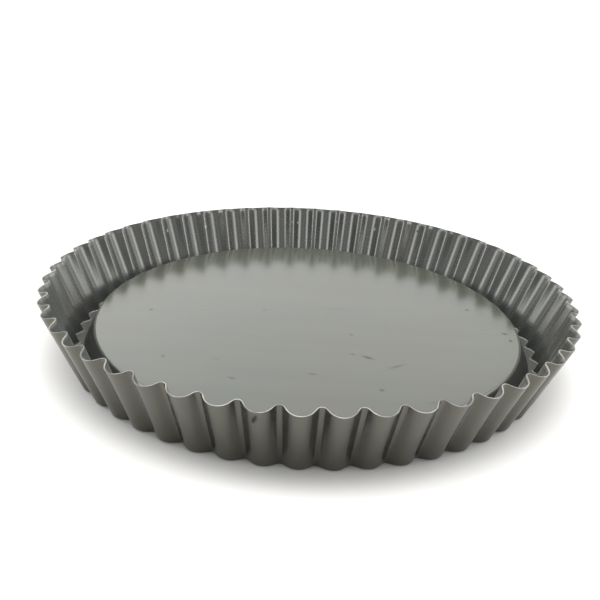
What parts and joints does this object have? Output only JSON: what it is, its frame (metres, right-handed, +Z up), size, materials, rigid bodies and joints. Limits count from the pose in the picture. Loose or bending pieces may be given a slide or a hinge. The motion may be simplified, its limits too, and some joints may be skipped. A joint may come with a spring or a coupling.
{
  "type": "fluted tart pan",
  "caption": "Round fluted tart pan of dark coated sheet steel: a tapered wavy wall on a narrow ledge, and a raised base plate that lifts out upwards.",
  "frame": {"origin": "on the pan's axis, in the plane of the underside of the ring's ledge, on which the pan stands", "axes": "+Z up along the pan's axis, from the foot towards the rim; +X through the middle of one outward lobe of the wall"},
  "size_m": [0.2798, 0.2798, 0.0356],
  "materials": {
    "ring_coating": "dark grey non-stick coating, satin, on thin pressed sheet steel",
    "base_coating": "dark grey non-stick coating, satin, a little worn, on thin pressed sheet steel"
  },
  "bodies": {
    "ring": {"fluted_ring": "ring_coating"},
    "base": {"loose_base": "base_coating"}
  },
  "joints": [
    {"name": "base_lift", "type": "slide", "parent": "ring", "child": "base", "axis": [0, 0, 1], "range_m": [0, 0.06]}
  ]
}
